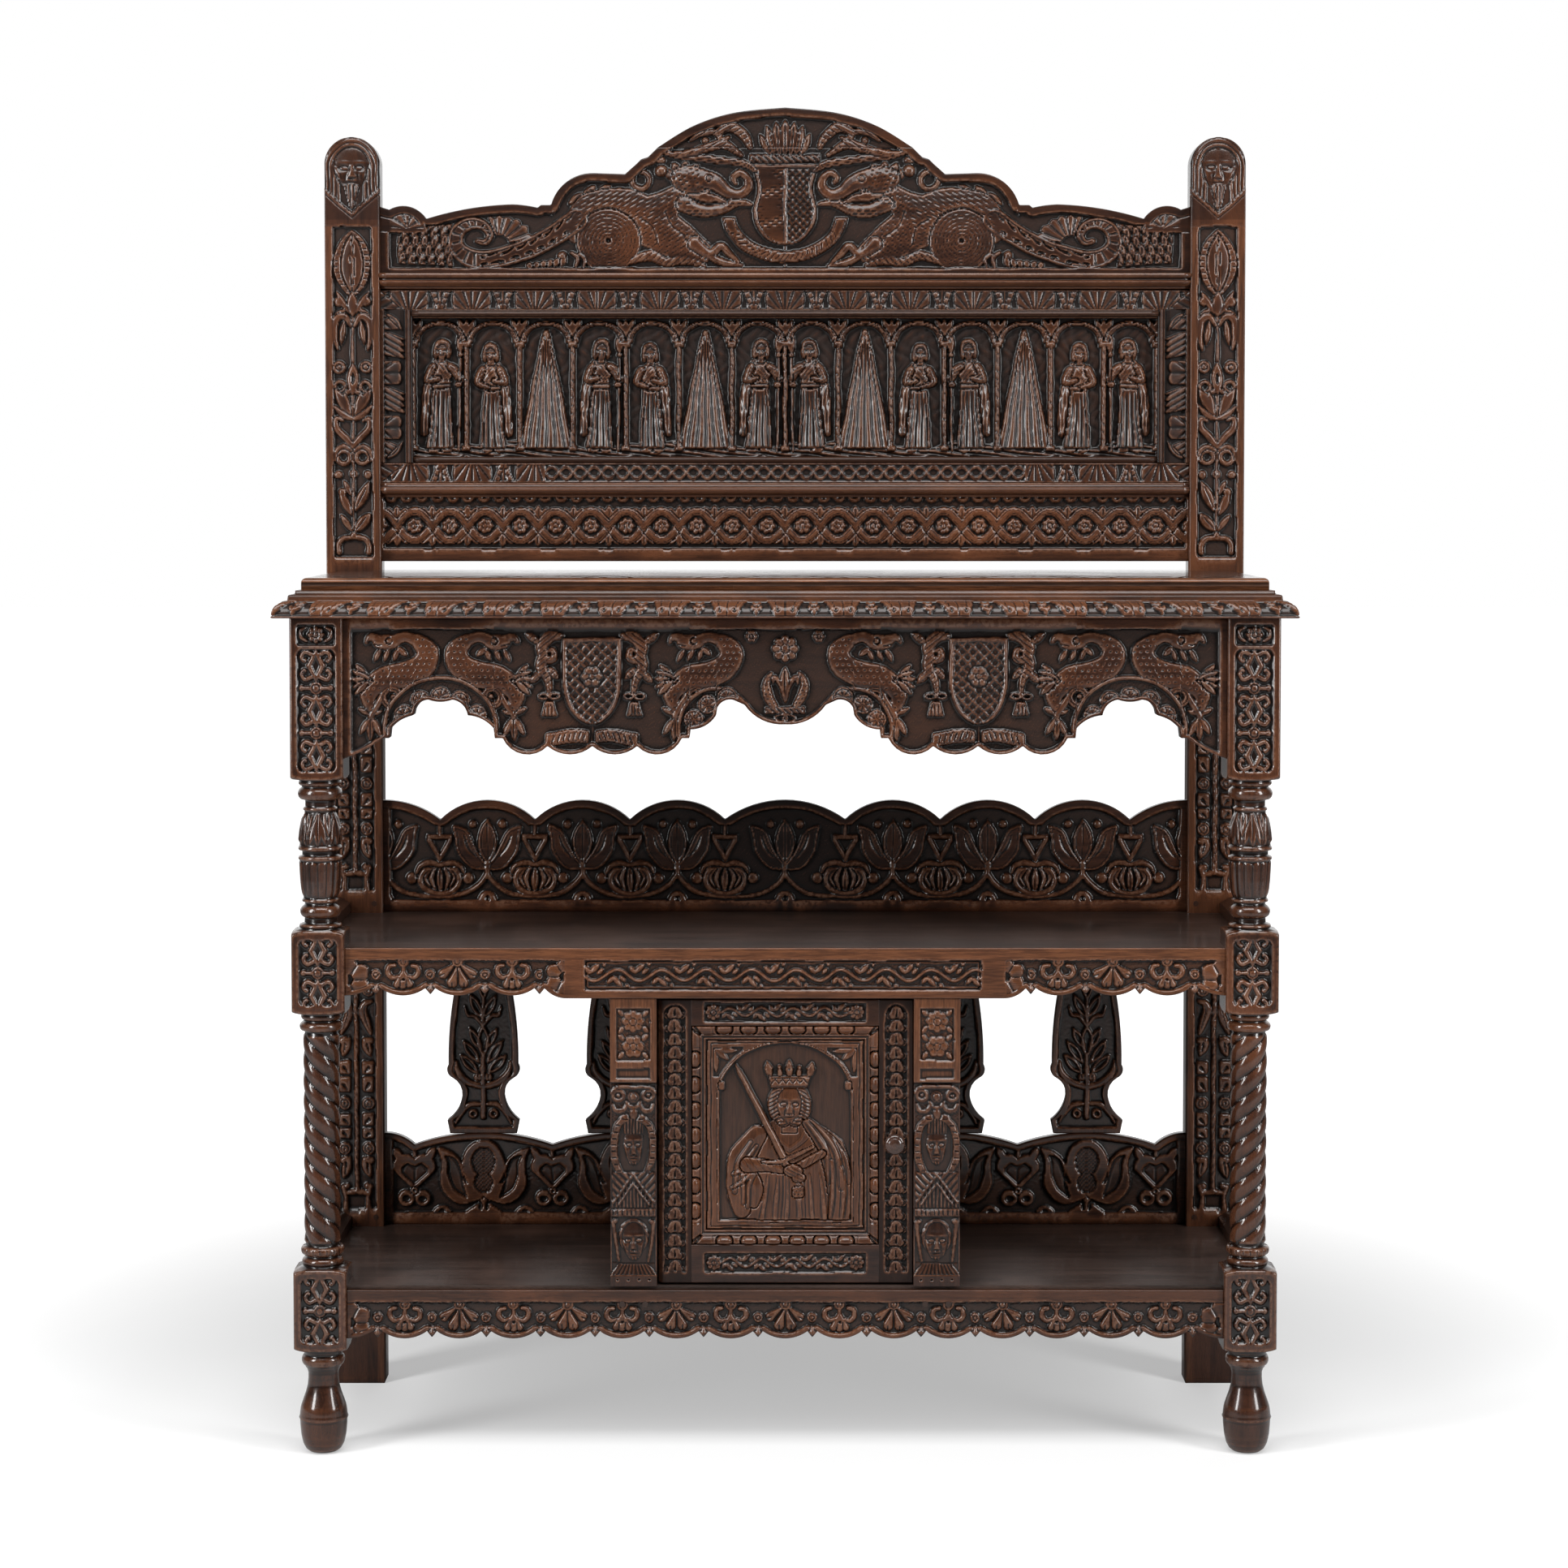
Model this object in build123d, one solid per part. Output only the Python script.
from build123d import *
import os

# Carved oak court cupboard: an open upper stage, an open lower stage with a small central cupboard,
# and a tall carved back with an arched crest.  +X is the right-hand side, -Y the front, +Z up.
# The origin lies on the floor under the middle of the bounding box.  Millimetres.

# ---------------------------------------------------------------- driving sizes: the frame
frame_width = 1361.0            # over the outer faces of the two front legs
leg_size = 73.0                 # square of the joint blocks on the front legs
frame_depth = 435.0             # from the faces of those blocks to the backs of the posts
leg_top = 1165.0
post_width = 80.0
post_thickness = 50.0
post_above_crest = 199.5        # round heads of the posts above the foot of the crest
rail_set_back = 8.0             # rails stand this far behind the faces of the blocks
rail_thickness = 32.0
back_set_back = 15.0            # boards between the posts stand this far behind the posts' faces
back_thickness = 20.0

# joints
tenon_length = 22.0
tenon_thickness = 10.0
tenon_shoulder = 8.0            # height that the tenon loses at each edge of its rail
mortise_clearance = 0.2         # all round the tenon
peg_radius = 4.0
peg_length = 34.0               # into a post, through the tenon
shelf_peg_length = 28.0         # into the front rail, through the pilaster's tenon
peg_inset = 12.0                # from the shoulder of the joint
peg_clearance = 0.05
peg_proud = 0.6

# front legs, from the floor up
foot_rest_radius = 14.0
foot_radius = 33.0
foot_belly_height = 54.0
foot_neck_radius = 21.0
foot_neck_length = 42.0         # neck and ring under the bottom block
block_above_shelf = 25.0        # the joint blocks reach this far above the shelves
bottom_block_below = 19.0       # and this far below the rails
middle_block_below = 27.0
top_block_height = 225.0
block_shoulder = 9.0            # rounding of the square where it meets the turning
ring_radius = 30.0
lower_collar = 30.0             # turned collars at the two ends of the column
upper_collar = 27.0
collar_ring_half = 6.0
column_radius = 25.0
strand_count = 4
strand_groove = 4.2             # depth of the groove between two strands
strand_rise = 113.0             # height of one full turn of a strand
cup_neck_radius = 20.5

# shelves
shelf_thickness = 16.0
shelf_lip = 10.0                # front rail's lip in front of the shelf board
bottom_shelf_top = 237.0
bottom_lip_drop = 5.0           # the lip stops this far under the bottom shelf's surface
middle_shelf_top = 708.5
middle_lip_drop = 0.0
side_rail_rise = 24.0           # side rails rise above the shelf
side_rail_thickness = 24.0
side_rail_bevel = 9.0
cleat_size = 18.0

# lobed lower edges of the two shelf rails
lobe_depth = 10.0
cusp_half_width = 7.0
end_lobe = 42.5                 # part of a lobe beside each leg
bottom_rail_low = 165.0
whole_lobes = 15                # between the cusps nearest to the legs
middle_rail_low = 643.0
middle_rail_plain_low = 639.0   # straight stretch over the cupboard
middle_lobe_count = 3           # whole lobes on each side of the straight stretch
middle_run_out = 37.0           # last curve, from a cusp down to the straight stretch

# frieze under the cornice
frieze_low = 976.5              # lowest lobes of the front board
frieze_end_drop = 6.0           # its tips at the legs hang this much lower
frieze_cusp = 11.5              # heights above the lowest lobes, up to the tops of the arches
frieze_step = 22.5
frieze_spring = 34.5
frieze_shoulder = 54.0
frieze_crown = 75.5
frieze_end_span = 219.0         # width of the arch beside each leg
frieze_middle_half = 142.0      # half of the middle arch
frieze_lobes = 4                # lobes between the arches
frieze_pendant = 41.5           # bottom of the middle pendant
side_frieze_height = 115.0

# cornice and top board
cornice_height = 37.2
cornice_reach = 22.0            # beyond the faces of the leg blocks
cornice_depth = 62.0            # from its tip back over the frame
top_board_thickness = 17.0
top_board_inset = 37.0          # board's edge behind the tip of the cornice
top_board_round = 6.0
upper_back_rail_height = 80.0

# cupboard between the shelves
door_opening = 356.0
pilaster_width = 64.0
pilaster_depth = 45.0
pilaster_set_back = 2.0         # behind the faces of the shelf rails
pilaster_tenon = 36.0           # down through the shelf into the front rail
pilaster_tenon_inset = 8.0      # from the sides of the pilaster
cupboard_board = 16.0
door_set_back = 10.0            # behind the faces of the pilasters
door_thickness = 22.0
door_gap = 1.0                  # between the door's edges and its opening
door_foot_gap = 3.0
door_head_gap = 4.0
stile_width = 47.0
door_rail_height = 36.0
door_bottom_rail_height = 53.0
door_panel_thickness = 10.0
door_panel_groove = 6.0
door_moulding_width = 20.0
door_moulding_rise = 3.0
door_moulding_depth = 9.0
pin_radius = 3.0
pin_reach = 12.0                # length of a pivot pin inside each of its two holes
pin_clearance = 0.05
knob_radius = 14.5
knob_length = 24.0
knob_height = 437.0
spindle_radius = 4.0
spindle_clearance = 0.05
catch_length = 56.0
catch_width = 14.0
catch_thickness = 6.0
catch_clearance = 1.5           # behind the pilaster

# carved boards at the back of the stages
lower_back_top = 374.0
lower_back_cusp = 356.0
lower_back_end_lobe = 44.5      # part of a lobe beside each post
lower_back_lobe = 207.0
tulip_board_top = 875.0
tulip_board_cusp = 846.0
tulip_end_lobe = 84.5
tulip_lobe = 142.0
tulip_lobe_count = 4            # cusps on each side of the middle
middle_back_rail_height = 52.0
splat_thickness = 14.0
splat_foot = 108.0
splat_waist = 63.0
splat_shoulder = 108.0
splat_head = 63.0
splat_foot_height = 20.0        # heights above the board that the splat stands on
splat_waist_height = 57.0
splat_shoulder_height = 94.0

# tall back above the top board, from the bottom up
name_rail_gap = 13.4            # above the top board
name_rail_height = 116.4
rail_moulding_height = 21.0
band_height = 29.5
bottom_bead_height = 9.5
relief_height = 205.0
relief_depth = 6.0
top_bead_height = 13.0
side_bead_width = 48.0
shell_band_height = 28.0
cap_gap = 2.5
crest_moulding_height = 23.5
band_thickness = 5.0
bolection_rise = 14.0
crest_moulding_rise = 17.0
crest_end_height = 80.0         # from the crest's foot to the cusps beside the posts
crest_end_rise = 18.0
crest_end_width = 68.5
crest_shoulder_x = 347.8        # where the shoulder rises from the long ramp
crest_shoulder_height = 67.5
crest_arch_half = 188.0         # half width of the arched top board
crest_split_height = 105.7
crest_apex_height = 164.0
crest_thickness = 18.0

# sunk fields on the faces of the posts
post_field_width = 58.0
post_field_depth = 4.0
post_field_margin = 25.0        # above and below the shelves and rails
post_field_head = 61.0          # top of the upper field above the foot of the crest

# ---------------------------------------------------------------- values that follow
leg_front = -(frame_depth + cornice_reach) / 2 + cornice_reach
post_front = leg_front + frame_depth - post_thickness
leg_x = frame_width / 2 - leg_size / 2
leg_y = leg_front + leg_size / 2
leg_back = leg_front + leg_size
leg_inner = frame_width / 2 - leg_size
post_x = frame_width / 2 - post_width / 2
post_inner = frame_width / 2 - post_width
post_back = post_front + post_thickness
rail_front = leg_front + rail_set_back
rail_back = rail_front + rail_thickness
back_front = post_front + back_set_back
back_back = back_front + back_thickness
side_outer = frame_width / 2 - rail_set_back
side_inner = side_outer - side_rail_thickness
bottom_shelf_bottom = bottom_shelf_top - shelf_thickness
middle_shelf_bottom = middle_shelf_top - shelf_thickness
bottom_block = (bottom_rail_low - bottom_block_below, bottom_shelf_top + block_above_shelf)
middle_block = (middle_rail_low - middle_block_below, middle_shelf_top + block_above_shelf)
top_block = (leg_top - top_block_height, leg_top)
column_bottom = bottom_block[1] + lower_collar
column_top = middle_block[0] - upper_collar
middle_back_rail_low = middle_shelf_bottom - middle_back_rail_height
side_frieze_low = leg_top - side_frieze_height
cornice_top = leg_top + cornice_height
cornice_front = leg_front - cornice_reach
cornice_half = frame_width / 2 + cornice_reach
pilaster_front = rail_front + pilaster_set_back
pilaster_back = pilaster_front + pilaster_depth
pilaster_inner = door_opening / 2
pilaster_outer = pilaster_inner + pilaster_width
door_front = pilaster_front + door_set_back
door_back = door_front + door_thickness
door_bottom = bottom_shelf_top + door_foot_gap
door_top = middle_rail_plain_low - door_head_gap
door_left = -pilaster_inner + door_gap
door_right = pilaster_inner - door_gap
hinge_x = door_left + door_thickness / 2
hinge_y = door_front + door_thickness / 2
knob_x = door_right - stile_width / 2 - 2.0
knob_z = knob_height
lobe_pitch = 2 * (leg_inner - end_lobe) / whole_lobes
middle_plain_half = leg_inner - end_lobe - middle_lobe_count * lobe_pitch - middle_run_out
lower_back_cusps = [post_inner - lower_back_end_lobe - i * lower_back_lobe for i in (2, 1, 0)]
tulip_cusps = [post_inner - tulip_end_lobe - i * tulip_lobe for i in reversed(range(tulip_lobe_count))]
splat_centres = [post_inner - lower_back_end_lobe - (i + 0.5) * lower_back_lobe for i in (1, 0)]
name_rail_bottom = cornice_top + top_board_thickness + name_rail_gap
band_bottom = name_rail_bottom + name_rail_height
band_top = band_bottom + band_height
relief_bottom = band_top + bottom_bead_height
relief_top = relief_bottom + relief_height
relief_half_width = post_inner - side_bead_width
shell_band_bottom = relief_top + top_bead_height
shell_band_top = shell_band_bottom + shell_band_height
crest_moulding_bottom = shell_band_top + cap_gap
crest_bottom = crest_moulding_bottom + crest_moulding_height
post_top = crest_bottom + post_above_crest
crest_cusp = crest_bottom + crest_end_height
crest_split = crest_cusp + crest_split_height
crest_apex = crest_cusp + crest_apex_height
post_fields = (
    (bottom_shelf_top + post_field_margin, middle_back_rail_low - post_field_margin),
    (middle_shelf_top + post_field_margin + 8.0, cornice_top - upper_back_rail_height - 2.0),
    (name_rail_bottom + 6.0, crest_bottom + post_field_head),
)

parts = {}


# ---------------------------------------------------------------- helpers
def block(x0, x1, y0, y1, z0, z1):
    """A box between two corners."""
    size = Box(x1 - x0, y1 - y0, z1 - z0)
    return Pos((x0 + x1) / 2, (y0 + y1) / 2, (z0 + z1) / 2) * size


def front_board(edges, y_front, thickness):
    """A board seen from the front: a closed outline of (x, z) edges, given its thickness backwards."""
    face = Plane.XZ * make_face(edges)
    return Pos(0, y_front + thickness, 0) * extrude(face, thickness)


def turned(edges, x, y):
    """A turning: a closed profile of (radius, z) edges spun about the leg's vertical axis."""
    return Pos(x, y, 0) * revolve(Plane.XZ * make_face(edges), Axis.Z)


def tenon_in_x(x_shoulder, outward, y_middle, z0, z1, grow=0.0):
    """Tenon on the end of a rail that runs along X; with grow it is the mortise for that tenon."""
    x_end = x_shoulder + outward * (tenon_length + grow)
    x_low, x_high = min(x_shoulder, x_end), max(x_shoulder, x_end)
    half = tenon_thickness / 2 + grow
    low, high = z0 + tenon_shoulder - grow, z1 - tenon_shoulder + grow
    return block(x_low, x_high, y_middle - half, y_middle + half, low, high)


def tenon_in_y(y_shoulder, outward, x_middle, z0, z1, grow=0.0):
    """Tenon on the end of a rail that runs along Y; with grow it is the mortise for that tenon."""
    y_end = y_shoulder + outward * (tenon_length + grow)
    y_low, y_high = min(y_shoulder, y_end), max(y_shoulder, y_end)
    half = tenon_thickness / 2 + grow
    low, high = z0 + tenon_shoulder - grow, z1 - tenon_shoulder + grow
    return block(x_middle - half, x_middle + half, y_low, y_high, low, high)


def mirrored(shape):
    """The same piece on the other side of the cupboard."""
    return mirror(shape, Plane.YZ)


def half_lobe(x_crown, z_crown, x_cusp, z_cusp):
    """Half of a round lobe: an arc that leaves its crown level and ends at the cusp."""
    width, height = x_cusp - x_crown, z_cusp - z_crown
    radius = (width ** 2 + height ** 2) / (2 * abs(height))
    fall = radius - (radius ** 2 - (width / 2) ** 2) ** 0.5
    sign = 1 if height > 0 else -1
    return ThreePointArc((x_crown, z_crown), (x_crown + width / 2, z_crown + sign * fall), (x_cusp, z_cusp))


def hanging_point(x, z_low, z_high):
    """Small point at a cusp between two lobes, drawn from left to right."""
    half = cusp_half_width
    return [Line((x - half, z_high), (x, z_low + 1.0)), Line((x, z_low + 1.0), (x + half, z_high))]


def lobed_edge(x_start, count, pitch, z_low, z_high):
    """Row of whole round lobes from one cusp to another, with hanging points at all its cusps."""
    edges = hanging_point(x_start, z_low, z_high)
    for i in range(count):
        left = x_start + i * pitch + cusp_half_width
        right = x_start + (i + 1) * pitch - cusp_half_width
        edges.append(ThreePointArc((left, z_high), ((left + right) / 2, z_low), (right, z_high)))
        edges += hanging_point(x_start + (i + 1) * pitch, z_low, z_high)
    return edges


# ---------------------------------------------------------------- rails that join legs and posts
# Each entry is the rail's lower and upper edge, from which tenons and mortises are both cut.
front_rails = (
    (bottom_rail_low + lobe_depth, bottom_shelf_bottom),
    (middle_rail_low + lobe_depth, middle_shelf_bottom),
    (frieze_low + 35.0, leg_top),
)
side_rails = (
    (bottom_rail_low + lobe_depth, bottom_shelf_top + side_rail_rise - side_rail_bevel),
    (middle_rail_low + lobe_depth, middle_shelf_top + side_rail_rise - side_rail_bevel),
    (side_frieze_low, leg_top),
)
back_rails = (
    (bottom_rail_low, bottom_shelf_bottom),
    (bottom_shelf_top, lower_back_cusp),
    (middle_back_rail_low, middle_shelf_bottom),
    (middle_shelf_top, tulip_board_cusp),
    (cornice_top - upper_back_rail_height, cornice_top),
    (name_rail_bottom, band_bottom),
    (band_bottom, crest_moulding_bottom),
    (crest_bottom, crest_cusp),
)
front_tenon_y = rail_front + shelf_lip + tenon_thickness / 2 + 4.0
side_tenon_x = side_outer - side_rail_thickness / 2
back_tenon_y = back_front + back_thickness / 2


def cut_leg_mortises(leg):
    """Mortises of the right-hand leg for its front rails and its side rails."""
    for low, high in front_rails:
        leg -= tenon_in_x(leg_inner, 1, front_tenon_y, low, high, mortise_clearance)
    for low, high in side_rails:
        leg -= tenon_in_y(leg_back, -1, side_tenon_x, low, high, mortise_clearance)
    return leg


def cut_post_mortises(post):
    """Mortises of the right-hand post for its side rails and the boards between the posts."""
    for low, high in side_rails:
        post -= tenon_in_y(post_front, 1, side_tenon_x, low, high, mortise_clearance)
    for low, high in back_rails:
        post -= tenon_in_x(post_inner, 1, back_tenon_y, low, high, mortise_clearance)
    return post


# ---------------------------------------------------------------- front legs
def joint_block(low, high):
    """Square block of a leg whose ends are rounded over where the turning starts."""
    body = block(leg_x - leg_size / 2, leg_x + leg_size / 2, leg_front, leg_back, low, high)
    reach = leg_size * 0.70
    step = block_shoulder
    profile = Polyline((0, low), (ring_radius, low), (reach, low + step), (reach, high - step),
                       (ring_radius, high), (0, high), close=True)
    if high >= leg_top:
        profile = Polyline((0, low), (ring_radius, low), (reach, low + step), (reach, high),
                           (0, high), close=True)
    return body & turned(profile, leg_x, leg_y)


def foot():
    """Pear-shaped foot, its neck, and the ring under the bottom block."""
    top = bottom_block[0]
    neck = top - foot_neck_length
    r = foot_neck_radius
    ring = top - 16.0
    edges = [
        Line((0, 0), (foot_rest_radius, 0)),
        Spline((foot_rest_radius, 0), (foot_radius - 4, foot_belly_height * 0.4),
               (foot_radius, foot_belly_height), (r + 5, (foot_belly_height + 2 * neck) / 3 + 4), (r, neck)),
        Line((r, neck), (r, neck + 10)),
        Line((r, neck + 10), (r + 3, ring - 10)),
        ThreePointArc((r + 3, ring - 10), (ring_radius, ring), (r + 3, ring + 10)),
        Line((r + 3, ring + 10), (r + 3, top)),
        Line((r + 3, top), (0, top)),
        Line((0, top), (0, 0)),
    ]
    return turned(edges, leg_x, leg_y)


def column_ring(low, high, ring_z):
    """Turned collar between a block and the twisted column, with one round ring."""
    r = column_radius - 2
    half = collar_ring_half
    edges = [
        Line((0, low), (r, low)),
        Line((r, low), (r, ring_z - half)),
        ThreePointArc((r, ring_z - half), (ring_radius, ring_z), (r, ring_z + half)),
        Line((r, ring_z + half), (r, high)),
        Line((r, high), (0, high)),
        Line((0, high), (0, low)),
    ]
    return turned(edges, leg_x, leg_y)


def twisted_column():
    """Barley-twist column: round strands side by side, carried up the leg as screw threads."""
    cusp = column_radius - strand_groove
    edges = []
    for i in range(strand_count):
        start = Vector(cusp, 0).rotate(Axis.Z, 360 / strand_count * i)
        crown = Vector(column_radius, 0).rotate(Axis.Z, 360 / strand_count * (i + 0.5))
        end = Vector(cusp, 0).rotate(Axis.Z, 360 / strand_count * (i + 1))
        edges.append(ThreePointArc(start, crown, end))
    height = column_top - column_bottom
    turn = 360 * height / strand_rise
    section = Wire(edges)
    twist = Solid.extrude_linear_with_rotation(section, (0, 0, 0), (0, 0, height), -turn)
    return Pos(leg_x, leg_y, column_bottom) * twist


def upper_turning():
    """Cup, fluted vase and rings between the middle and the top block; heights are shares of the stretch."""
    low, high = middle_block[1], top_block[0]
    n = cup_neck_radius
    r = ring_radius

    def z(share):
        return low + share * (high - low)

    edges = [
        Line((0, low), (r, low)),
        Line((r, low), (n + 2, z(0.04))),
        Line((n + 2, z(0.04)), (n + 2, z(0.075))),
        ThreePointArc((n + 2, z(0.075)), (28, z(0.115)), (n + 2, z(0.16))),
        Line((n + 2, z(0.16)), (n, z(0.175))),
        ThreePointArc((n, z(0.175)), (n + 4, z(0.35)), (r, z(0.47))),
        Line((r, z(0.47)), (r, z(0.50))),
        Line((r, z(0.50)), (n + 5, z(0.52))),
        Line((n + 5, z(0.52)), (r, z(0.545))),
        ThreePointArc((r, z(0.545)), (n + 8, z(0.69)), (n, z(0.80))),
        Line((n, z(0.80)), (n, z(0.86))),
        ThreePointArc((n, z(0.86)), (r, z(0.91)), (n + 4, z(0.95))),
        Line((n + 4, z(0.95)), (r, z(0.99))),
        Line((r, z(0.99)), (r, high)),
        Line((r, high), (0, high)),
        Line((0, high), (0, low)),
    ]
    return turned(edges, leg_x, leg_y)


def front_leg():
    """One right-hand front leg, turned and twisted from a single post, with its mortises."""
    leg = foot() + joint_block(*bottom_block)
    leg += column_ring(bottom_block[1], column_bottom, column_bottom - 8)
    leg += twisted_column()
    leg += column_ring(column_top, middle_block[0], column_top + 8)
    leg += joint_block(*middle_block)
    leg += upper_turning()
    leg += joint_block(*top_block)
    return cut_leg_mortises(leg)


# ---------------------------------------------------------------- back posts
def back_post():
    """Right-hand back post: a plank on edge with a round head and sunk fields on its face."""
    half = post_width / 2
    shoulder = post_top - half
    edges = [
        Line((post_x - half, 0), (post_x + half, 0)),
        Line((post_x + half, 0), (post_x + half, shoulder)),
        ThreePointArc((post_x + half, shoulder), (post_x, post_top), (post_x - half, shoulder)),
        Line((post_x - half, shoulder), (post_x - half, 0)),
    ]
    post = front_board(edges, post_front, post_thickness)
    field = post_field_width / 2
    for low, high in post_fields:
        spring = high - field
        outline = [
            Line((post_x - field, low), (post_x + field, low)),
            Line((post_x + field, low), (post_x + field, spring)),
            ThreePointArc((post_x + field, spring), (post_x, high), (post_x - field, spring)),
            Line((post_x - field, spring), (post_x - field, low)),
        ]
        post -= front_board(outline, post_front, post_field_depth)
    return cut_post_mortises(post)


# ---------------------------------------------------------------- shelf rails and shelves
def shelf_front_rail(z_low, shelf_top, lip_drop, plain_low=None):
    """Front rail under a shelf, with a lobed lower edge and a rebate for the shelf board."""
    z_high = z_low + lobe_depth
    rail_top = shelf_top - lip_drop
    first = leg_inner - end_lobe
    beside_leg = half_lobe(-leg_inner, z_low, -first - cusp_half_width, z_high)
    if plain_low is None:
        edges = [beside_leg] + lobed_edge(-first, whole_lobes, lobe_pitch, z_low, z_high)
        edges.append(mirrored(beside_leg))
    else:
        last = middle_plain_half + middle_run_out - cusp_half_width
        run_out = half_lobe(-middle_plain_half, plain_low, -last, z_high)
        left = [beside_leg] + lobed_edge(-first, middle_lobe_count, lobe_pitch, z_low, z_high) + [run_out]
        edges = left + [mirrored(edge) for edge in left]
        edges.append(Line((-middle_plain_half, plain_low), (middle_plain_half, plain_low)))
    edges.append(Line((leg_inner, z_low), (leg_inner, rail_top)))
    edges.append(Line((leg_inner, rail_top), (-leg_inner, rail_top)))
    edges.append(Line((-leg_inner, rail_top), (-leg_inner, z_low)))
    rail = front_board(edges, rail_front, rail_thickness)
    shelf_bottom = shelf_top - shelf_thickness
    rail -= block(-leg_inner, leg_inner, rail_front + shelf_lip, rail_back, shelf_bottom, shelf_top)
    for side in (-1, 1):
        rail += tenon_in_x(side * leg_inner, side, front_tenon_y, z_high, shelf_bottom)
    return rail


def shelf_board(shelf_top):
    """Shelf board notched round the legs and the posts, between the side rails."""
    z0 = shelf_top - shelf_thickness
    front = block(-leg_inner, leg_inner, rail_front + shelf_lip, leg_back, z0, shelf_top)
    middle = block(-side_inner, side_inner, leg_back, post_front, z0, shelf_top)
    rear = block(-post_inner, post_inner, post_front, back_back, z0, shelf_top)
    return front + middle + rear


def shelf_side_rail(low, shelf_top):
    """Right-hand side rail of a shelf; its top rises above the shelf and is bevelled inwards."""
    top = shelf_top + side_rail_rise
    outline = Polyline((side_inner, low), (side_outer, low), (side_outer, top),
                       (side_outer - side_rail_bevel, top), (side_inner, top - side_rail_bevel), close=True)
    rail = Pos(0, post_front, 0) * extrude(Plane.XZ * make_face(outline), post_front - leg_back)
    tenon_top = top - side_rail_bevel
    rail += tenon_in_y(leg_back, -1, side_tenon_x, low, tenon_top)
    rail += tenon_in_y(post_front, 1, side_tenon_x, low, tenon_top)
    return rail


def shelf_cleats(shelf_bottom):
    """Two strips under a shelf, fixed to the inner faces of its side rails."""
    right = block(side_inner - cleat_size, side_inner, leg_back, post_front,
                  shelf_bottom - cleat_size, shelf_bottom)
    return Compound([right, mirrored(right)])


def back_rail(low, high):
    """Plain rail between the posts."""
    rail = block(-post_inner, post_inner, back_front, back_back, low, high)
    for side in (-1, 1):
        rail += tenon_in_x(side * post_inner, side, back_tenon_y, low, high)
    return rail


# ---------------------------------------------------------------- frieze, cornice and top board
def frieze_lobe_row(x0, x1):
    """Row of lobes hanging between two arches, drawn from left to right."""
    pitch = (x1 - x0) / frieze_lobes
    ends = [frieze_step] + [frieze_cusp] * (frieze_lobes - 1) + [frieze_step]
    arcs = []
    for i in range(frieze_lobes):
        left, right = x0 + i * pitch, x0 + (i + 1) * pitch
        start = (left, frieze_low + ends[i])
        end = (right, frieze_low + ends[i + 1])
        arcs.append(ThreePointArc(start, ((left + right) / 2, frieze_low), end))
    return arcs


def frieze_front():
    """Frieze board under the cornice: lobed arches between pendants, cut along its lower edge."""
    step, spring = frieze_low + frieze_step, frieze_low + frieze_spring
    shoulder, crown = frieze_low + frieze_shoulder, frieze_low + frieze_crown
    tip = frieze_low - frieze_end_drop
    e = -leg_inner
    f = e + frieze_end_span
    m = -frieze_middle_half
    half = [
        Spline((e, tip), (e + 25.0, frieze_low + 4.0), (e + 55.0, step)),
        Line((e + 55.0, step), (e + 63.0, step)),
        Line((e + 63.0, step), (e + 63.0, spring)),
        ThreePointArc((e + 63.0, spring), (e + 84.0, shoulder - 4.0), (e + 96.0, shoulder)),
        ThreePointArc((e + 96.0, shoulder), (e + 103.0, crown - 6.0), (e + 117.0, crown)),
        ThreePointArc((e + 117.0, crown), (e + 133.0, crown - 3.0), (e + 150.0, crown)),
        ThreePointArc((e + 150.0, crown), (e + 163.0, crown - 6.0), (e + 171.0, shoulder)),
        ThreePointArc((e + 171.0, shoulder), (e + 188.0, shoulder - 4.0), (f - 11.0, spring)),
        Line((f - 11.0, spring), (f - 11.0, step)),
        Line((f - 11.0, step), (f, step)),
    ]
    half += frieze_lobe_row(f, m)
    half += [
        Line((m, step), (m + 11.0, step)),
        Line((m + 11.0, step), (m + 11.0, spring)),
        ThreePointArc((m + 11.0, spring), (m + 35.0, spring + 7.0), (m + 47.0, shoulder)),
        ThreePointArc((m + 47.0, shoulder), (m + 52.0, crown - 6.0), (m + 70.0, crown)),
        Line((m + 70.0, crown), (m + 86.0, crown - 7.0)),
        ThreePointArc((m + 86.0, crown - 7.0), (m / 4, frieze_low + frieze_pendant + 8.0),
                      (0.0, frieze_low + frieze_pendant)),
    ]
    edges = half + [mirrored(edge) for edge in half]
    edges.append(Line((leg_inner, tip), (leg_inner, leg_top)))
    edges.append(Line((leg_inner, leg_top), (-leg_inner, leg_top)))
    edges.append(Line((-leg_inner, leg_top), (-leg_inner, tip)))
    board = front_board(edges, rail_front, rail_thickness)
    low, high = front_rails[2]
    for side in (-1, 1):
        board += tenon_in_x(side * leg_inner, side, front_tenon_y, low, high)
    return board


def frieze_side():
    """Right-hand side rail under the cornice."""
    low, high = side_rails[2]
    rail = block(side_inner, side_outer, leg_back, post_front, low, high)
    rail += tenon_in_y(leg_back, -1, side_tenon_x, low, high)
    rail += tenon_in_y(post_front, 1, side_tenon_x, low, high)
    return rail


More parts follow.
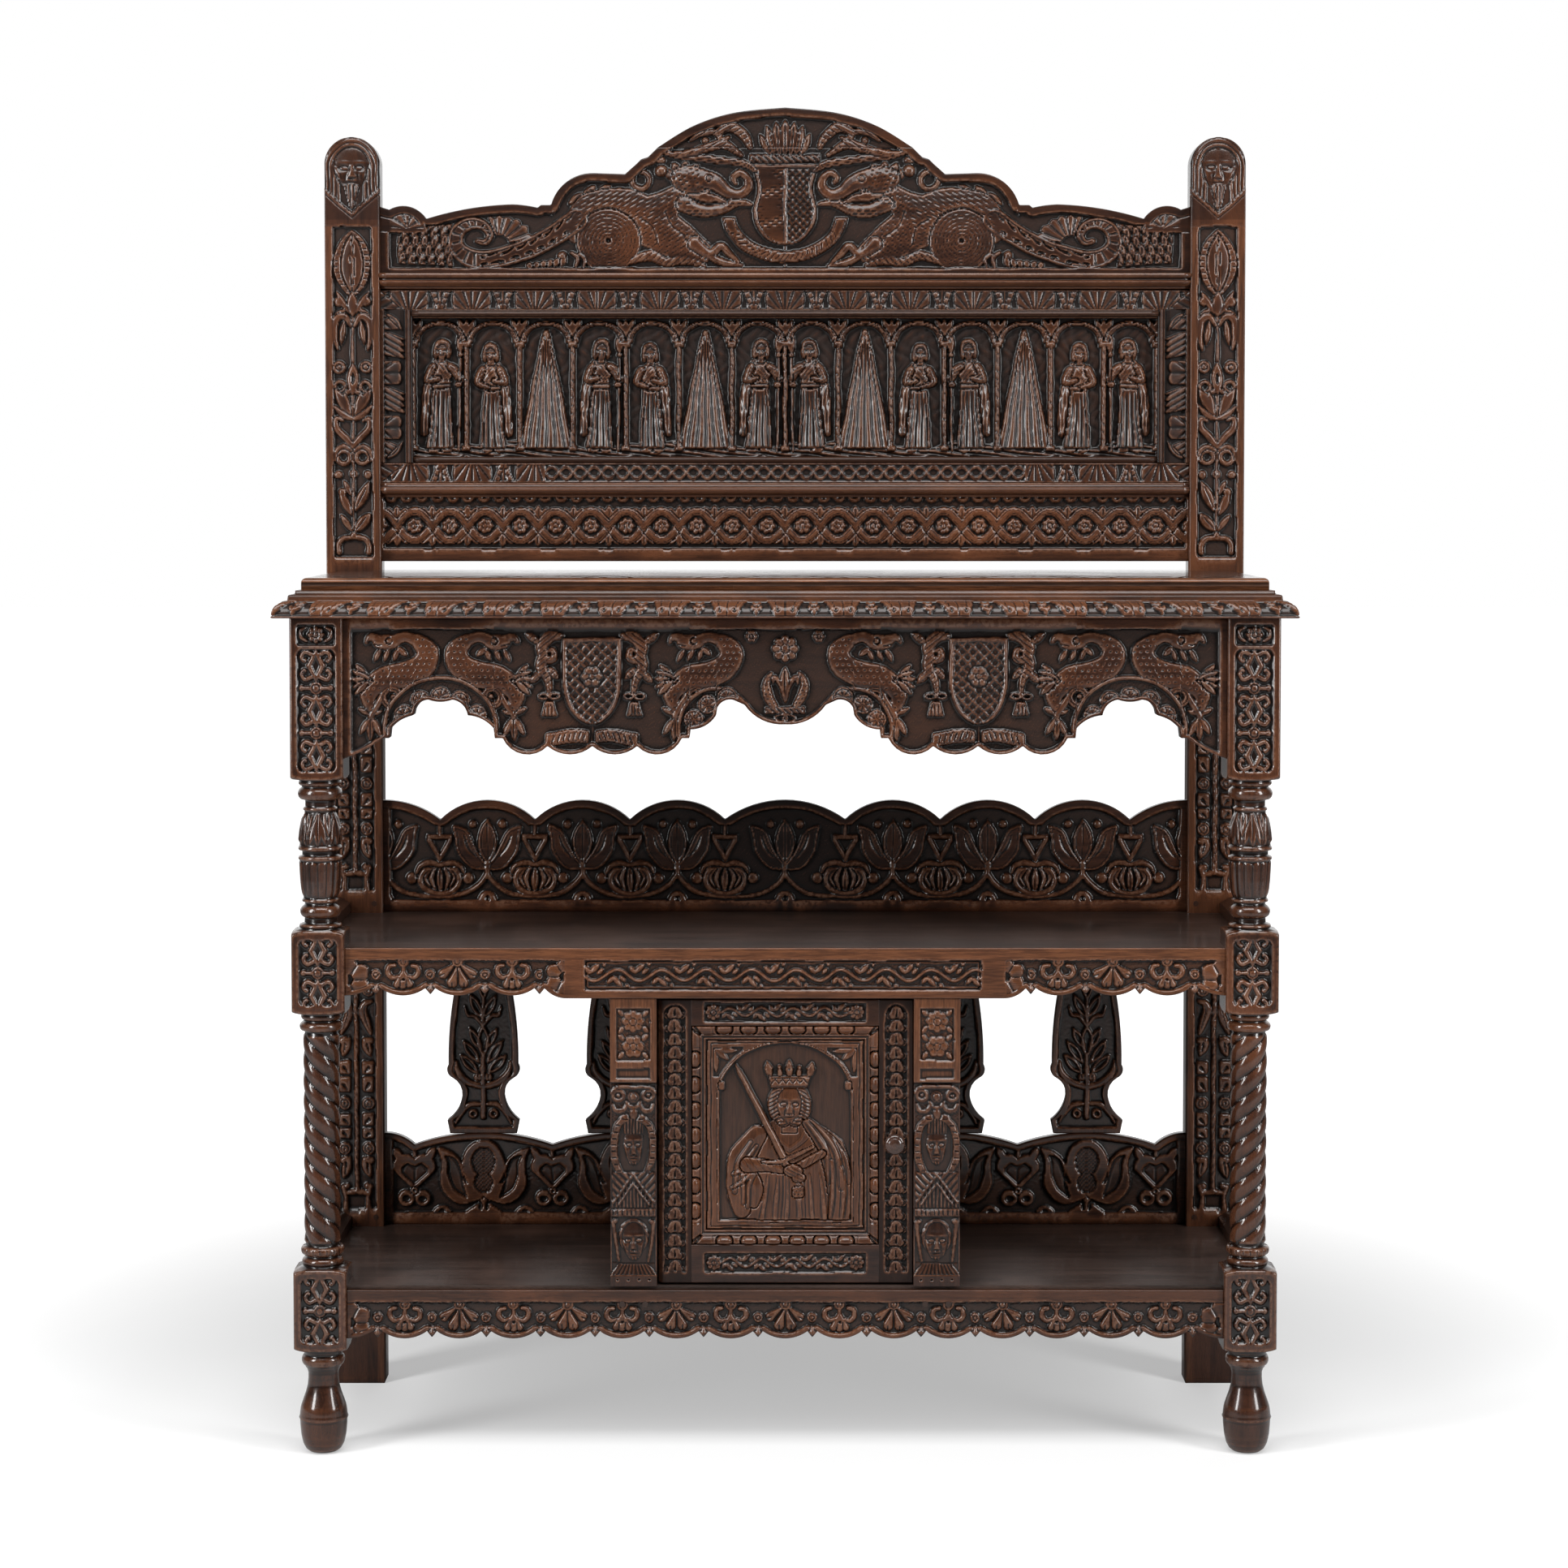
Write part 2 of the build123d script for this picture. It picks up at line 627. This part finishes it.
def cornice_profile():
    """Cornice moulding in (outward from the tip, height): fillet, cyma for the leaves, corona."""
    h = cornice_height
    inner = -cornice_depth
    edges = [
        Line((inner, 0), (-cornice_reach + 2, 0)),
        Line((-cornice_reach + 2, 0), (-cornice_reach + 2, 3)),
        Spline((-cornice_reach + 2, 3), (-cornice_reach + 5, 12), (-9.0, 21)),
        Line((-9.0, 21), (-9.0, 24)),
        Line((-9.0, 24), (-6.0, 24)),
        ThreePointArc((-6.0, 24), (-3.5, 28.5), (0.0, 29.5)),
        Line((0.0, 29.5), (0.0, h)),
        Line((0.0, h), (inner, h)),
        Line((inner, h), (inner, 0)),
    ]
    return make_face(edges)


def cornice_front_piece():
    """Front length of the cornice, mitred at both ends."""
    profile = Plane(origin=(-cornice_half, cornice_front, leg_top), x_dir=(0, -1, 0), z_dir=(-1, 0, 0))
    run = extrude(profile * cornice_profile(), -2 * cornice_half)
    inner = cornice_half - cornice_depth
    plan = Polyline((-cornice_half, cornice_front), (cornice_half, cornice_front),
                    (inner, cornice_front + cornice_depth), (-inner, cornice_front + cornice_depth), close=True)
    return run & (Pos(0, 0, leg_top) * extrude(make_face(plan), cornice_height))


def cornice_side_piece():
    """Right-hand length of the cornice, mitred at the front."""
    profile = Plane(origin=(cornice_half, cornice_front, leg_top), x_dir=(1, 0, 0), z_dir=(0, -1, 0))
    run = extrude(profile * cornice_profile(), -(post_front - cornice_front))
    inner = cornice_half - cornice_depth
    plan = Polyline((cornice_half, cornice_front), (cornice_half, post_front), (inner, post_front),
                    (inner, cornice_front + cornice_depth), close=True)
    return run & (Pos(0, 0, leg_top) * extrude(make_face(plan), cornice_height))


def top_board():
    """Top board over the cornice, with a rounded front edge and rounded ends, notched at the posts."""
    half = cornice_half - top_board_inset
    front = cornice_front + top_board_inset
    board = block(-half, half, front, post_front, cornice_top, cornice_top + top_board_thickness)
    rim = board.edges().filter_by(Axis.Z, reverse=True).group_by(Axis.Z)[-1]
    rim = rim.sort_by(Axis.Y)[:-1]
    board = fillet(rim, top_board_round)
    rear = block(-post_inner, post_inner, post_front, back_back, cornice_top,
                 cornice_top + top_board_thickness)
    return board + rear


# ---------------------------------------------------------------- central cupboard
def pilaster():
    """Right-hand pilaster beside the door, standing on the shelf and stopping under the upper rail."""
    shaft = block(pilaster_inner, pilaster_outer, pilaster_front, pilaster_back,
                  bottom_shelf_top, middle_rail_plain_low)
    return shaft + pilaster_foot(0.0)


def pilaster_foot(grow):
    """Tenon under the right-hand pilaster; with grow it is the mortise through shelf and rail."""
    half = tenon_thickness / 2 + grow
    inset = pilaster_tenon_inset - grow
    return block(pilaster_inner + inset, pilaster_outer - inset, front_tenon_y - half, front_tenon_y + half,
                 bottom_shelf_top - pilaster_tenon - grow, bottom_shelf_top)


def pilaster_mortises():
    """Mortises for the feet of both pilasters."""
    right = pilaster_foot(mortise_clearance)
    return Compound([right, mirrored(right)])


def cupboard_side():
    """Right-hand side board of the cupboard, behind the pilaster."""
    return block(pilaster_outer - cupboard_board, pilaster_outer, pilaster_back,
                 back_front - cupboard_board, bottom_shelf_top, middle_shelf_bottom)


def cupboard_back():
    """Back board of the cupboard, in front of the lower back board."""
    return block(-pilaster_outer, pilaster_outer, back_front - cupboard_board, back_front,
                 bottom_shelf_top, middle_shelf_bottom)


def door_stile_left():
    """Hanging stile; its edge is rounded about the pivot so that it can turn beside the pilaster."""
    half = door_thickness / 2
    x1 = door_left + stile_width
    plan = [
        Line((hinge_x, door_front), (x1, door_front)),
        Line((x1, door_front), (x1, door_back)),
        Line((x1, door_back), (hinge_x, door_back)),
        ThreePointArc((hinge_x, door_back), (hinge_x - half, hinge_y), (hinge_x, door_front)),
    ]
    stile = Pos(0, 0, door_bottom) * extrude(make_face(plan), door_top - door_bottom)
    stile -= panel_groove()
    bore = Cylinder(pin_radius + pin_clearance, pin_reach + 0.5)
    for z in (door_bottom + pin_reach / 2, door_top - pin_reach / 2):
        stile -= Pos(hinge_x, hinge_y, z) * bore
    return stile


def door_stile_right():
    """Closing stile, bored for the spindle of the knob."""
    stile = block(door_right - stile_width, door_right, door_front, door_back, door_bottom, door_top)
    stile -= panel_groove()
    bore = Cylinder(spindle_radius + spindle_clearance, door_thickness + 2, rotation=(90, 0, 0))
    return stile - Pos(knob_x, hinge_y, knob_z) * bore


def door_rail(low, high):
    """Cross rail of the door between the stiles."""
    rail = block(door_left + stile_width, door_right - stile_width, door_front, door_back, low, high)
    return rail - panel_groove()


def panel_box(grow):
    """Space of the door panel, which stands in grooves in the stiles and rails."""
    reach = door_panel_groove + grow
    half = door_panel_thickness / 2 + grow
    y = door_back - door_panel_thickness / 2 - 3.0
    return block(door_left + stile_width - reach, door_right - stile_width + reach, y - half, y + half,
                 door_bottom + door_bottom_rail_height - reach, door_top - door_rail_height + reach)


def panel_groove():
    """Groove for the door panel, larger than its edge by the mortise clearance."""
    return panel_box(mortise_clearance)


def door_panel():
    """Door panel with an arched raised field on its face."""
    panel = panel_box(0)
    low = door_bottom + door_bottom_rail_height + door_moulding_width + 10.0
    high = door_top - door_rail_height - door_moulding_width - 6.0
    half = (door_right - door_left) / 2 - stile_width - door_moulding_width - 12.0
    middle = (door_left + door_right) / 2
    spring = high - half * 0.35
    outline = [
        Line((middle - half, low), (middle + half, low)),
        Line((middle + half, low), (middle + half, spring)),
        ThreePointArc((middle + half, spring), (middle, high), (middle - half, spring)),
        Line((middle - half, spring), (middle - half, low)),
    ]
    face = door_back - door_panel_thickness - 3.0
    return panel + front_board(outline, face - 3.0, 3.0)


def door_moulding():
    """Four mitred lengths of moulding round the panel."""
    x0, x1 = door_left + stile_width, door_right - stile_width
    z0, z1 = door_bottom + door_bottom_rail_height, door_top - door_rail_height
    w = door_moulding_width
    rear = door_back - door_panel_thickness - 3.0
    front = door_front - door_moulding_rise
    ring = front_board(Polyline((x0, z0), (x1, z0), (x1, z1), (x0, z1), close=True), front, rear - front)
    opening = Polyline((x0 + w, z0 + w), (x1 - w, z0 + w), (x1 - w, z1 - w), (x0 + w, z1 - w), close=True)
    ring -= front_board(opening, front, rear - front)
    slope = Plane.XZ * make_face(opening)
    bevel = Pos(0, rear, 0) * extrude(slope, rear - front - 2.0, taper=-35)
    ring -= bevel
    corners = ((x0, z0), (x1, z0), (x1, z1), (x0, z1))
    inner = ((x0 + w, z0 + w), (x1 - w, z0 + w), (x1 - w, z1 - w), (x0 + w, z1 - w))
    lengths = []
    for i in range(4):
        j = (i + 1) % 4
        plan = Polyline(corners[i], corners[j], inner[j], inner[i], close=True)
        lengths.append(ring & front_board(plan, front, rear - front))
    return Compound(lengths)


def pivot_pin(z_middle):
    """Iron pin on which the door turns; half of it is in the door and half in the frame."""
    return Pos(hinge_x, hinge_y, z_middle) * Cylinder(pin_radius, 2 * pin_reach)


def pin_bore(z_middle):
    """Hole for a pivot pin in the frame."""
    return Pos(hinge_x, hinge_y, z_middle) * Cylinder(pin_radius + pin_clearance, 2 * pin_reach + 1.0)


def knob():
    """Turned wooden knob on the closing stile."""
    r = knob_radius
    edges = [
        Line((0, 0), (9.0, 0)),
        Line((9.0, 0), (9.0, 3.0)),
        Line((9.0, 3.0), (6.0, 5.0)),
        ThreePointArc((6.0, 5.0), (6.5, 8.0), (9.0, 10.0)),
        ThreePointArc((9.0, 10.0), (r, 16.0), (9.0, 22.0)),
        ThreePointArc((9.0, 22.0), (6.0, 23.4), (2.0, knob_length)),
        Line((2.0, knob_length), (0, knob_length)),
        Line((0, knob_length), (0, 0)),
    ]
    body = revolve(Plane.XZ * make_face(edges), Axis.Z)
    return Pos(knob_x, door_front - door_gap * 0.3, knob_z) * Rot(90, 0, 0) * body


def knob_spindle():
    """Spindle through the stile from the knob to the catch."""
    y0 = door_front - door_gap * 0.3
    y1 = pilaster_back + catch_clearance
    length = y1 - y0
    rod = Cylinder(spindle_radius, length, rotation=(90, 0, 0))
    return Pos(knob_x, (y0 + y1) / 2, knob_z) * rod


def turn_catch():
    """Wooden catch on the spindle, upright when the door is free to open."""
    y0 = pilaster_back + catch_clearance
    catch = block(knob_x - catch_width / 2, knob_x + catch_width / 2, y0, y0 + catch_thickness,
                  knob_z - catch_width / 2, knob_z + catch_length - catch_width / 2)
    return fillet(catch.edges().filter_by(Axis.Y), catch_width / 2 - 1.0)


# ---------------------------------------------------------------- carved boards between the posts
def lobed_back_board(bottom, top, cusp, cusps, thickness):
    """Board whose top edge is a row of round lobes, symmetric about the middle."""
    xs = [-x for x in reversed(cusps)] + list(cusps)
    edges = [Line((-post_inner, bottom), (post_inner, bottom))]
    edges.append(Line((post_inner, bottom), (post_inner, top)))
    for start, end in zip(xs[:-1], xs[1:]):
        edges.append(ThreePointArc((start, cusp), ((start + end) / 2, top), (end, cusp)))
    edges += [half_lobe(side * post_inner, top, side * xs[-1], cusp) for side in (-1, 1)]
    edges.append(Line((-post_inner, top), (-post_inner, bottom)))
    board = front_board(edges, back_front, thickness)
    for side in (-1, 1):
        board += tenon_in_x(side * post_inner, side, back_tenon_y, bottom, cusp)
    return board


def splat(centre):
    """Flat shaped splat: a flared foot, a notched waist and a shield that narrows upwards."""
    foot_half, waist_half = splat_foot / 2, splat_waist / 2
    shoulder_half, head_half = splat_shoulder / 2, splat_head / 2
    z0 = lower_back_top
    z1 = middle_back_rail_low
    flare = z0 + splat_foot_height
    waist = z0 + splat_waist_height
    shoulder = z0 + splat_shoulder_height
    right = [
        Line((foot_half - 4, z0), (foot_half, flare)),
        ThreePointArc((foot_half, flare), (waist_half + 6, (flare + waist) / 2), (waist_half, waist)),
        ThreePointArc((waist_half, waist), (waist_half + 8, waist + 0.6 * (shoulder - waist)),
                      (shoulder_half - 8, shoulder - 10)),
        ThreePointArc((shoulder_half - 8, shoulder - 10), (shoulder_half, shoulder), (shoulder_half - 2, shoulder + 10)),
        ThreePointArc((shoulder_half - 2, shoulder + 10), (shoulder_half - 5, shoulder + 77), (head_half, z1)),
    ]
    edges = right + [mirrored(edge) for edge in right]
    edges.append(Line((-foot_half + 4, z0), (foot_half - 4, z0)))
    edges.append(Line((-head_half, z1), (head_half, z1)))
    y_front = back_front + (back_thickness - splat_thickness) / 2
    board = front_board(edges, y_front, splat_thickness)
    seat = block(-foot_half + 4, foot_half - 4, y_front, y_front + splat_thickness, lower_back_cusp, z0)
    return Pos(centre, 0, 0) * (board + (seat - lobe_under_splat(centre)))


def lobe_under_splat(centre):
    """The part of the lower back board that a splat stands on, in the splat's own place."""
    return Pos(-centre, 0, 0) * lower_back_board()


def lower_back_board():
    """Carved board that stands on the bottom shelf at the back."""
    return lobed_back_board(bottom_shelf_top, lower_back_top, lower_back_cusp, lower_back_cusps,
                            back_thickness)


def tulip_board():
    """Carved board with a lobed top that stands on the middle shelf at the back."""
    return lobed_back_board(middle_shelf_top, tulip_board_top, tulip_board_cusp, tulip_cusps,
                            back_thickness)


# ---------------------------------------------------------------- tall back
def strip(half, low, high, rise, y_back):
    """Applied moulding with a half-round face, running across the back."""
    middle = (low + high) / 2
    edge = y_back - rise + min(0.6 * rise, 0.4 * (high - low))
    edges = [
        Line((y_back, low), (y_back, high)),
        Line((y_back, high), (edge, high)),
        ThreePointArc((edge, high), (y_back - rise, middle), (edge, low)),
        Line((edge, low), (y_back, low)),
    ]
    face = Plane.YZ * make_face(edges)
    return Pos(-half, 0, 0) * extrude(face, 2 * half)


def upright_strip(x0, x1, low, high, rise, y_back):
    """Applied upright moulding with a half-round face."""
    middle = (x0 + x1) / 2
    edge = y_back - rise + min(0.6 * rise, 0.4 * (x1 - x0))
    edges = [
        Line((x0, y_back), (x1, y_back)),
        Line((x1, y_back), (x1, edge)),
        ThreePointArc((x1, edge), (middle, y_back - rise), (x0, edge)),
        Line((x0, edge), (x0, y_back)),
    ]
    return Pos(0, 0, low) * extrude(make_face(edges), high - low)


def crest_half():
    """Left half of the lower board's top edge, from the post to the foot of the arched board."""
    z = crest_cusp
    e = -post_inner
    s = -crest_shoulder_x
    a = -crest_arch_half
    cusp = e + crest_end_width
    crown = (cusp + s) / 2 + 36.5
    top = z + crest_shoulder_height
    return [
        Line((e, z + crest_end_rise), (e + 14.0, z + crest_end_rise - 4.5)),
        ThreePointArc((e + 14.0, z + crest_end_rise - 4.5), (e + 42.0, z + crest_end_rise + 0.5), (cusp, z)),
        ThreePointArc((cusp, z), ((cusp + crown) / 2 + 4.0, z + 16.0), (crown, z + 21.5)),
        ThreePointArc((crown, z + 21.5), ((crown + s) / 2 - 10.0, z + 20.0), (s - 18.7, z + 16.5)),
        Line((s - 18.7, z + 16.5), (s - 14.0, z + 20.5)),
        Line((s - 14.0, z + 20.5), (s + 1.0, z + 20.5)),
        ThreePointArc((s + 1.0, z + 20.5), (s + 24.0, top - 13.0), (s + 65.0, top)),
        Line((s + 65.0, top), (a - 49.0, top - 1.5)),
        Line((a - 49.0, top - 1.5), (a - 32.0, top + 13.5)),
        Line((a - 32.0, top + 13.5), (a - 25.0, top + 20.5)),
        Line((a - 25.0, top + 20.5), (a - 15.0, top + 23.5)),
        Line((a - 15.0, top + 23.5), (a, crest_split)),
    ]


def crest_lower_board():
    """Lower board of the crest; its top edge is straight where the arched board stands on it."""
    half = crest_half()
    end = crest_cusp + crest_end_rise
    edges = half + [mirrored(edge) for edge in half]
    edges.append(Line((-crest_arch_half, crest_split), (crest_arch_half, crest_split)))
    edges.append(Line((post_inner, end), (post_inner, crest_bottom)))
    edges.append(Line((post_inner, crest_bottom), (-post_inner, crest_bottom)))
    edges.append(Line((-post_inner, crest_bottom), (-post_inner, end)))
    board = front_board(edges, back_front, crest_thickness)
    for side in (-1, 1):
        board += tenon_in_x(side * post_inner, side, back_tenon_y, crest_bottom, crest_cusp)
    return board


def crest_arch_board():
    """Small arched board glued on top of the crest."""
    a = crest_arch_half
    rise = crest_apex - crest_split
    right = [(a, crest_split), (a * 0.72, crest_split + rise * 0.54), (a * 0.4, crest_split + rise * 0.87)]
    left = [(-x, z) for x, z in reversed(right)]
    edges = [
        Line((-a, crest_split), (a, crest_split)),
        Spline(right + [(0.0, crest_apex)] + left),
    ]
    return front_board(edges, back_front, crest_thickness)


def relief_board():
    """Wide board of the back that carries the relief panel."""
    board = block(-post_inner, post_inner, back_front, back_back, band_bottom, crest_moulding_bottom)
    board -= block(-relief_half_width, relief_half_width, back_front, back_front + relief_depth,
                   relief_bottom, relief_top)
    for side in (-1, 1):
        board += tenon_in_x(side * post_inner, side, back_tenon_y, band_bottom, crest_moulding_bottom)
    return board


# ---------------------------------------------------------------- pegs
def peg_group(places, y_face, length):
    """Oak pegs driven from the front; places are the (x, z) of each peg."""
    pegs = []
    for x, z in places:
        rod = Cylinder(peg_radius, length + peg_proud, rotation=(90, 0, 0))
        pegs.append(Pos(x, y_face + (length - peg_proud) / 2, z) * rod)
    return Compound(pegs)


def peg_holes(places, y_face, length):
    """Holes for a group of pegs, a little deeper than the pegs."""
    holes = []
    for x, z in places:
        bore = Cylinder(peg_radius + peg_clearance, length + 1.0, rotation=(90, 0, 0))
        holes.append(Pos(x, y_face + (length + 1.0) / 2, z) * bore)
    return Compound(holes)


shelf_peg_z = bottom_shelf_bottom - peg_inset / 2 - 2.0
shelf_peg_x = (pilaster_inner + 2 * pilaster_tenon_inset, pilaster_outer - 2 * pilaster_tenon_inset)
shelf_pegs = [(side * x, shelf_peg_z) for side in (-1, 1) for x in shelf_peg_x]
post_peg_x = post_inner + peg_inset
post_peg_z = (bottom_shelf_top + tenon_shoulder + 6.0, middle_shelf_top + tenon_shoulder + 6.0)
post_pegs = [(side * post_peg_x, z) for side in (-1, 1) for z in post_peg_z]


# ---------------------------------------------------------------- the assembly
def build():
    """Makes every piece in its place."""
    leg = front_leg()
    parts["front_leg_right"] = leg
    parts["front_leg_left"] = mirrored(leg)
    post_bores = peg_holes(post_pegs, post_front, peg_length)
    post = back_post() - post_bores
    parts["back_post_right"] = post
    parts["back_post_left"] = mirrored(post)

    bottom_front = shelf_front_rail(bottom_rail_low, bottom_shelf_top, bottom_lip_drop)
    shelf_bores = peg_holes(shelf_pegs, rail_front, shelf_peg_length)
    mortises = pilaster_mortises()
    parts["bottom_apron"] = bottom_front - mortises - shelf_bores
    parts["shelf_pegs"] = peg_group(shelf_pegs, rail_front, shelf_peg_length)
    parts["post_pegs"] = peg_group(post_pegs, post_front, peg_length)
    middle_front = shelf_front_rail(middle_rail_low, middle_shelf_top, middle_lip_drop,
                                    middle_rail_plain_low)
    parts["middle_apron"] = middle_front - pin_bore(door_top + door_head_gap)
    parts["bottom_shelf"] = shelf_board(bottom_shelf_top) - pin_bore(bottom_shelf_top) - mortises
    parts["middle_shelf"] = shelf_board(middle_shelf_top)
    for name, low, top, shelf_bottom in (
        ("bottom", side_rails[0][0], bottom_shelf_top, bottom_shelf_bottom),
        ("middle", side_rails[1][0], middle_shelf_top, middle_shelf_bottom),
    ):
        rail = shelf_side_rail(low, top)
        parts[name + "_side_rail_right"] = rail
        parts[name + "_side_rail_left"] = mirrored(rail)
        parts[name + "_shelf_cleats"] = shelf_cleats(shelf_bottom)
    parts["bottom_back_rail"] = back_rail(*back_rails[0])
    parts["middle_back_rail"] = back_rail(*back_rails[2])
    parts["upper_back_rail"] = back_rail(*back_rails[4])
    parts["lower_back_board"] = lower_back_board() - post_bores
    parts["tulip_board"] = tulip_board() - post_bores
    for i, centre in enumerate((-splat_centres[1], -splat_centres[0], splat_centres[0], splat_centres[1])):
        parts["splat_" + str(i + 1)] = splat(centre)

    parts["frieze_front"] = frieze_front()
    side = frieze_side()
    parts["frieze_right"] = side
    parts["frieze_left"] = mirrored(side)
    parts["cornice_front"] = cornice_front_piece()
    cornice = cornice_side_piece()
    parts["cornice_right"] = cornice
    parts["cornice_left"] = mirrored(cornice)
    parts["top_board"] = top_board()

    column = pilaster() - shelf_bores
    parts["pilaster_right"] = column
    parts["pilaster_left"] = mirrored(column)
    board = cupboard_side()
    parts["cupboard_side_right"] = board
    parts["cupboard_side_left"] = mirrored(board)
    parts["cupboard_back"] = cupboard_back()

    parts["door_stile_left"] = door_stile_left()
    parts["door_stile_right"] = door_stile_right()
    parts["door_bottom_rail"] = door_rail(door_bottom, door_bottom + door_bottom_rail_height)
    parts["door_top_rail"] = door_rail(door_top - door_rail_height, door_top)
    parts["door_panel"] = door_panel()
    parts["door_moulding"] = door_moulding()
    parts["pivot_pin_bottom"] = pivot_pin(bottom_shelf_top)
    parts["pivot_pin_top"] = pivot_pin(middle_rail_plain_low)
    parts["knob"] = knob()
    parts["knob_spindle"] = knob_spindle()
    parts["turn_catch"] = turn_catch()

    parts["name_rail"] = back_rail(name_rail_bottom, band_bottom)
    parts["rail_moulding"] = strip(post_inner, band_bottom - rail_moulding_height, band_bottom,
                                    bolection_rise, back_front)
    parts["relief_board"] = relief_board()
    inner = relief_half_width
    parts["lower_band"] = block(-post_inner, post_inner, back_front - band_thickness, back_front,
                                band_bottom, band_top)
    parts["shell_band"] = block(-post_inner, post_inner, back_front - band_thickness, back_front,
                                shell_band_bottom, shell_band_top)
    parts["panel_moulding_bottom"] = strip(inner, band_top, relief_bottom, band_thickness + 1, back_front)
    parts["panel_moulding_top"] = strip(inner, relief_top, shell_band_bottom, bolection_rise, back_front)
    upright = upright_strip(inner, post_inner, band_top, shell_band_bottom, bolection_rise, back_front)
    parts["panel_moulding_right"] = upright
    parts["panel_moulding_left"] = mirrored(upright)
    cap = strip(post_inner, crest_moulding_bottom, crest_bottom, crest_moulding_rise, back_front)
    parts["crest_moulding"] = cap + block(-post_inner, post_inner, back_front, back_front + crest_thickness,
                                          crest_moulding_bottom, crest_bottom)
    parts["crest_lower_board"] = crest_lower_board()
    parts["crest_arch_board"] = crest_arch_board()


build()
os.makedirs("parts", exist_ok=True)
for name, shape in parts.items():
    export_step(shape, "parts/" + name + ".step")
print(len(parts), "pieces")
